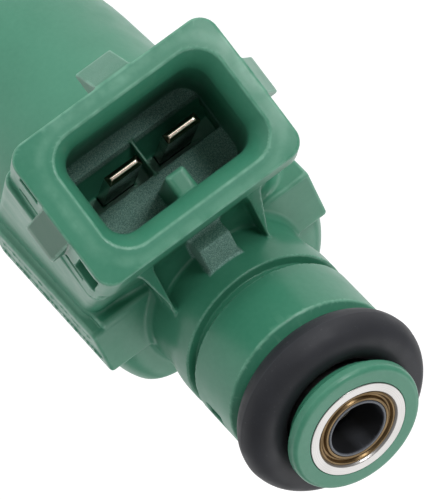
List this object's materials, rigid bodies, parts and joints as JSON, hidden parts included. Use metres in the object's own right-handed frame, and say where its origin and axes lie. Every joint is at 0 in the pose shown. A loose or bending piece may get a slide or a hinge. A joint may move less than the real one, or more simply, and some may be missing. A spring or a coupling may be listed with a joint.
{
  "type": "fuel injector",
  "caption": "Top-feed port fuel injector with a leaning two-blade electrical socket, O-ring seals at both ends and a sprung needle valve.",
  "frame": {"origin": "on the injector's axis at the nozzle cap's end face, where the nozzle enters the manifold bore", "axes": "+Z along the injector's axis from the nozzle to the fuel inlet, +X towards the side the electrical socket leans out of, +Y across the socket"},
  "size_m": [0.0312, 0.0198, 0.075],
  "materials": {
    "nylon": "satin moulded nylon, green",
    "rubber": "matt",
    "steel": "turned",
    "magnet_steel": "satin",
    "brass": "satin",
    "copper": "enamelled copper",
    "blade": "rolled copper alloy",
    "dark_plastic": "matt black",
    "mesh": "fine woven mesh"
  },
  "bodies": {
    "housing": {"overmould": "nylon", "inlet_ring": "nylon", "upper_o_ring": "rubber", "inlet_tube": "steel", "filter_ring": "brass", "filter_cage": "dark_plastic", "filter_mesh": "mesh", "adjusting_sleeve": "brass", "valve_spring": "steel", "nonmagnetic_ring": "steel", "valve_body": "steel", "valve_seat": "magnet_steel", "orifice_plate": "steel", "coil_bobbin": "dark_plastic", "coil_winding": "copper", "yoke_can": "magnet_steel", "yoke_washer": "magnet_steel", "terminal_left": "blade", "terminal_right": "blade", "lower_o_ring": "rubber", "spacer_ring": "dark_plastic", "nozzle_cap": "dark_plastic"},
    "needle": {"armature": "magnet_steel", "needle_tube": "steel", "valve_ball": "steel"}
  },
  "joints": [
    {"name": "needle_lift", "type": "slide", "parent": "housing", "child": "needle", "axis": [0, 0, 1], "range_m": [0, 0.00009], "stiffness_N_per_m": 2000, "springref_m": -0.0015, "deforming": ["valve_spring"]}
  ]
}
